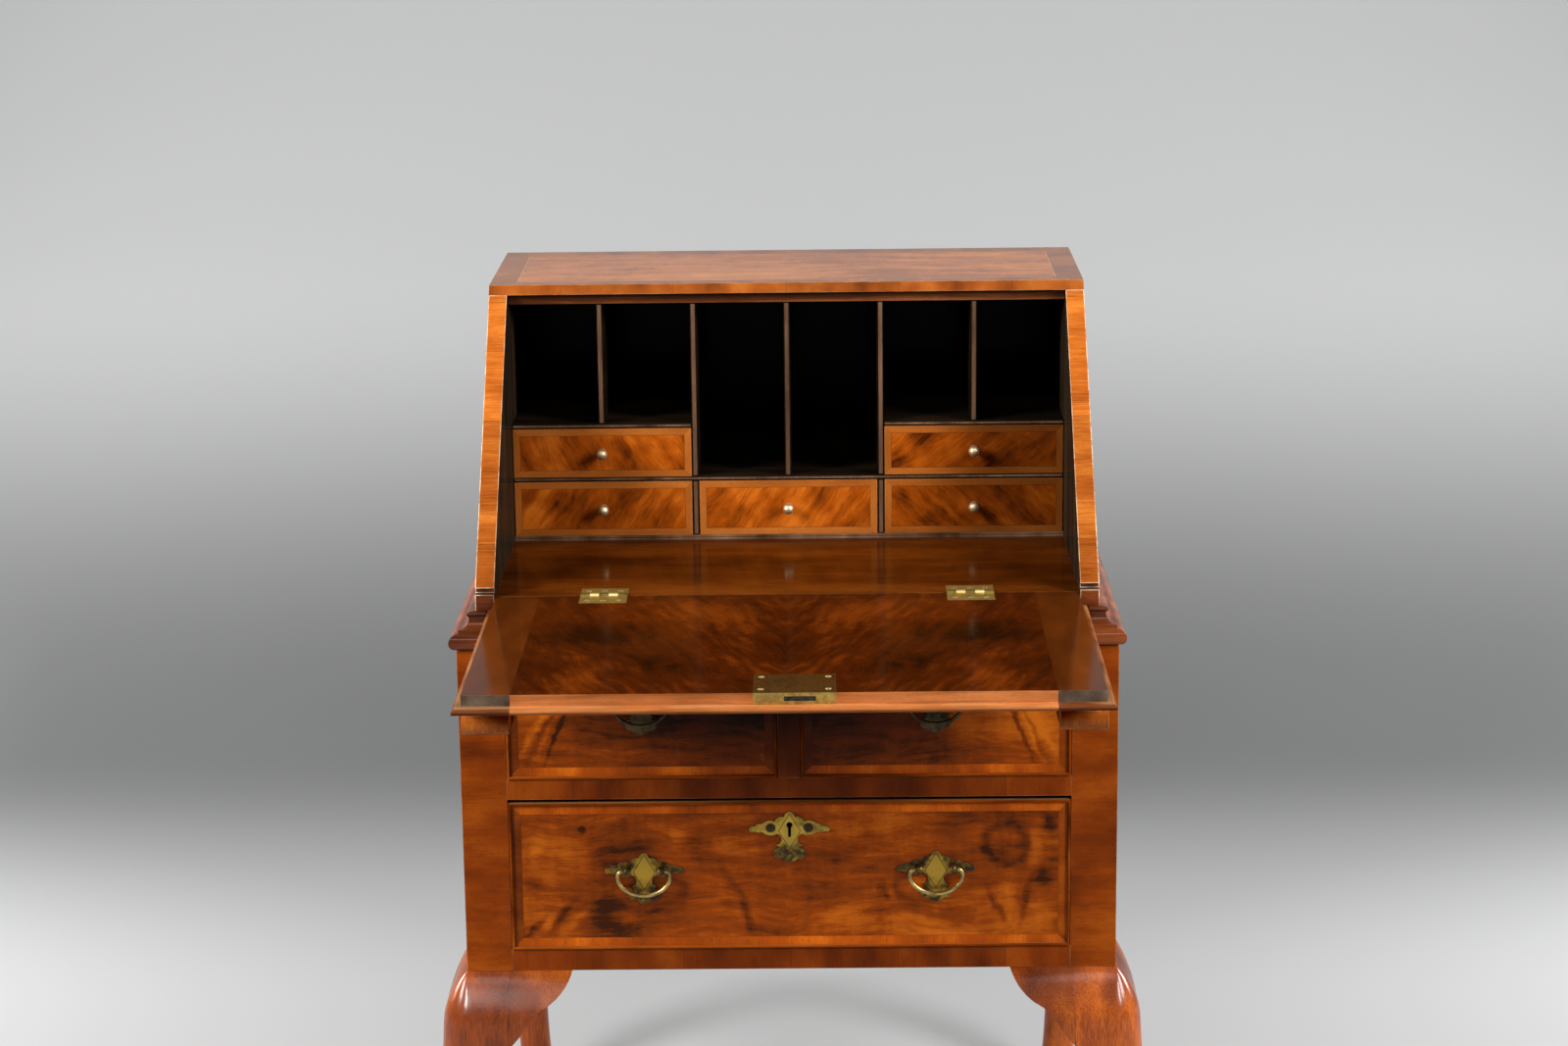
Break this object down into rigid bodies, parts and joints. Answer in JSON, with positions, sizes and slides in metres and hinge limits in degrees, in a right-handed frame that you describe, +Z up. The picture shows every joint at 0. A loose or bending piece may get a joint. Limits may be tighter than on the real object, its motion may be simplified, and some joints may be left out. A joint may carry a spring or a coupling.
{
  "type": "escritoire",
  "caption": "Slant-front writing desk on cabriole legs: hinged fall on pull-out supports, pigeonholes with small drawers inside, bail-handled drawers below.",
  "frame": {"origin": "on the floor, at the middle of the box that the open desk fills", "axes": "+Z up, -Y towards the writer, +X to the writer's right"},
  "size_m": [0.7794, 0.9088, 1.052],
  "materials": {
    "figured_walnut": "polished burr walnut veneer",
    "moulded_walnut": "polished walnut moulding",
    "carved_walnut": "polished solid walnut",
    "bed_walnut": "polished plain walnut",
    "dark_interior": "dark stained walnut",
    "striped_walnut": "polished striped veneer",
    "oak_carcase": "unpolished oak",
    "aged_brass": "aged, softly polished",
    "lock_iron": "oiled iron"
  },
  "bodies": {
    "case": {"case_left_side": "figured_walnut", "case_right_side": "figured_walnut", "case_front_frame": "figured_walnut", "desk_left_side": "figured_walnut", "desk_right_side": "figured_walnut", "desk_top": "figured_walnut", "waist_moulding_front": "moulded_walnut", "waist_moulding_left": "moulded_walnut", "waist_moulding_right": "moulded_walnut", "front_legs": "carved_walnut", "back_legs": "carved_walnut", "leg_brackets": "carved_walnut", "writing_bed": "bed_walnut", "pigeonhole_base": "bed_walnut", "lock_rail": "bed_walnut", "pigeonhole_shelves": "dark_interior", "pigeonhole_partitions": "dark_interior", "desk_back": "dark_interior", "case_back": "oak_carcase", "case_bottom": "oak_carcase", "dust_board": "oak_carcase", "case_top": "oak_carcase", "drawer_guides": "oak_carcase", "waist_frame": "oak_carcase", "bed_hinge_leaves": "aged_brass", "bed_hinge_screws": "aged_brass"},
    "fall": {"fall_panel": "figured_walnut", "fall_hinge_leaves": "aged_brass", "fall_screws": "aged_brass", "fall_lock": "aged_brass"},
    "fall_bolt": {"fall_lock_bolt": "aged_brass"},
    "left_support": {"left_loper": "moulded_walnut"},
    "right_support": {"right_loper": "moulded_walnut"},
    "upper_left_drawer": {"upper_left_drawer_front": "figured_walnut", "upper_left_drawer_box": "oak_carcase", "upper_left_drawer_handle": "aged_brass"},
    "upper_right_drawer": {"upper_right_drawer_front": "figured_walnut", "upper_right_drawer_box": "oak_carcase", "upper_right_drawer_handle": "aged_brass"},
    "long_drawer": {"long_drawer_front": "figured_walnut", "long_drawer_box": "oak_carcase", "long_drawer_handles": "aged_brass", "long_drawer_escutcheon": "aged_brass", "long_drawer_lock": "lock_iron"},
    "drawer_bolt": {"long_drawer_lock_bolt": "lock_iron"},
    "inner_upper_left": {"inner_upper_left_drawer": "striped_walnut", "inner_upper_left_knob": "aged_brass"},
    "inner_upper_right": {"inner_upper_right_drawer": "striped_walnut", "inner_upper_right_knob": "aged_brass"},
    "inner_lower_left": {"inner_lower_left_drawer": "striped_walnut", "inner_lower_left_knob": "aged_brass"},
    "inner_lower_middle": {"inner_lower_middle_drawer": "striped_walnut", "inner_lower_middle_knob": "aged_brass"},
    "inner_lower_right": {"inner_lower_right_drawer": "striped_walnut", "inner_lower_right_knob": "aged_brass"},
    "upper_left_bail": {"upper_left_drawer_bail": "aged_brass"},
    "upper_right_bail": {"upper_right_drawer_bail": "aged_brass"},
    "long_left_bail": {"long_drawer_left_bail": "aged_brass"},
    "long_right_bail": {"long_drawer_right_bail": "aged_brass"}
  },
  "joints": [
    {"name": "fall_hinge", "type": "hinge", "parent": "case", "child": "fall", "pos_m": [0, -0.0697, 0.754], "axis": [1, 0, 0], "range_deg": [-132.2, 0]},
    {"name": "left_support_slide", "type": "slide", "parent": "case", "child": "left_support", "axis": [0, -1, 0], "range_m": [-0.307, 0]},
    {"name": "right_support_slide", "type": "slide", "parent": "case", "child": "right_support", "axis": [0, -1, 0], "range_m": [-0.307, 0]},
    {"name": "upper_left_drawer_slide", "type": "slide", "parent": "case", "child": "upper_left_drawer", "axis": [0, -1, 0], "range_m": [0, 0.25]},
    {"name": "upper_right_drawer_slide", "type": "slide", "parent": "case", "child": "upper_right_drawer", "axis": [0, -1, 0], "range_m": [0, 0.25]},
    {"name": "long_drawer_slide", "type": "slide", "parent": "case", "child": "long_drawer", "axis": [0, -1, 0], "range_m": [0, 0.28]},
    {"name": "inner_upper_left_slide", "type": "slide", "parent": "case", "child": "inner_upper_left", "axis": [0, -1, 0], "range_m": [0, 0.15]},
    {"name": "inner_upper_right_slide", "type": "slide", "parent": "case", "child": "inner_upper_right", "axis": [0, -1, 0], "range_m": [0, 0.15]},
    {"name": "inner_lower_left_slide", "type": "slide", "parent": "case", "child": "inner_lower_left", "axis": [0, -1, 0], "range_m": [0, 0.15]},
    {"name": "inner_lower_middle_slide", "type": "slide", "parent": "case", "child": "inner_lower_middle", "axis": [0, -1, 0], "range_m": [0, 0.15]},
    {"name": "inner_lower_right_slide", "type": "slide", "parent": "case", "child": "inner_lower_right", "axis": [0, -1, 0], "range_m": [0, 0.15]},
    {"name": "upper_left_bail_pivot", "type": "hinge", "parent": "upper_left_drawer", "child": "upper_left_bail", "pos_m": [-0.1595, -0.10904, 0.6465], "axis": [-1, 0, 0], "range_deg": [0, 75]},
    {"name": "upper_right_bail_pivot", "type": "hinge", "parent": "upper_right_drawer", "child": "upper_right_bail", "pos_m": [0.1595, -0.10904, 0.6465], "axis": [-1, 0, 0], "range_deg": [0, 75]},
    {"name": "long_left_bail_pivot", "type": "hinge", "parent": "long_drawer", "child": "long_left_bail", "pos_m": [-0.15964, -0.10904, 0.4528], "axis": [-1, 0, 0], "range_deg": [0, 75]},
    {"name": "long_right_bail_pivot", "type": "hinge", "parent": "long_drawer", "child": "long_right_bail", "pos_m": [0.15964, -0.10904, 0.4528], "axis": [-1, 0, 0], "range_deg": [0, 75]},
    {"name": "fall_bolt_slide", "type": "slide", "parent": "fall", "child": "fall_bolt", "axis": [0, -1, 0], "range_m": [0, 0.01]},
    {"name": "drawer_bolt_slide", "type": "slide", "parent": "long_drawer", "child": "drawer_bolt", "axis": [0, 0, 1], "range_m": [0, 0.008]}
  ]
}
